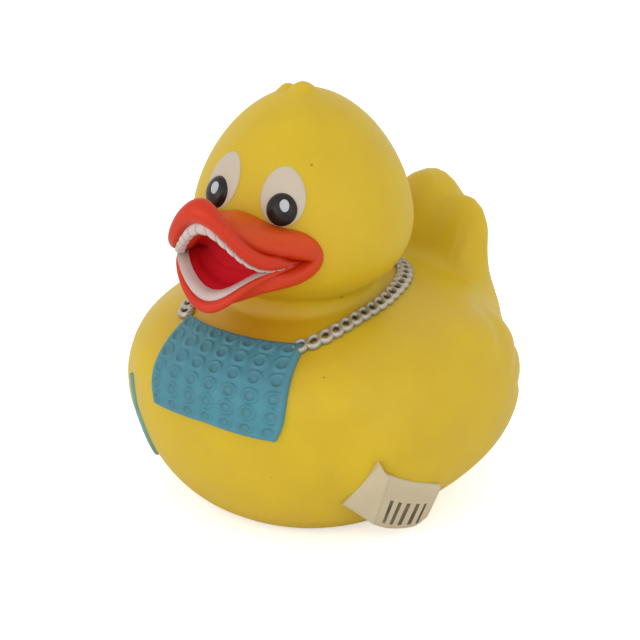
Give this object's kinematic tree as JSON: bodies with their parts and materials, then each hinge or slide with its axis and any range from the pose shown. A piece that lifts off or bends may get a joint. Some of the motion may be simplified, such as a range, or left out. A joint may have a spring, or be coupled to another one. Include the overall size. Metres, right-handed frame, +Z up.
{
  "type": "rubber duck",
  "caption": "Hollow moulded vinyl bath duck with an open red bill, raised eyes, a bib on a chain, a small packet and a toothbrush relief.",
  "frame": {"origin": "on the floor, in the middle of the flat base under the hull", "axes": "+Z up, -Y forward along the bill, +X towards the duck's left wing"},
  "size_m": [0.0736, 0.081, 0.0818],
  "materials": {
    "vinyl": "satin vinyl, yellow"
  },
  "bodies": {
    "root": {"duck": "vinyl"}
  },
  "joints": []
}
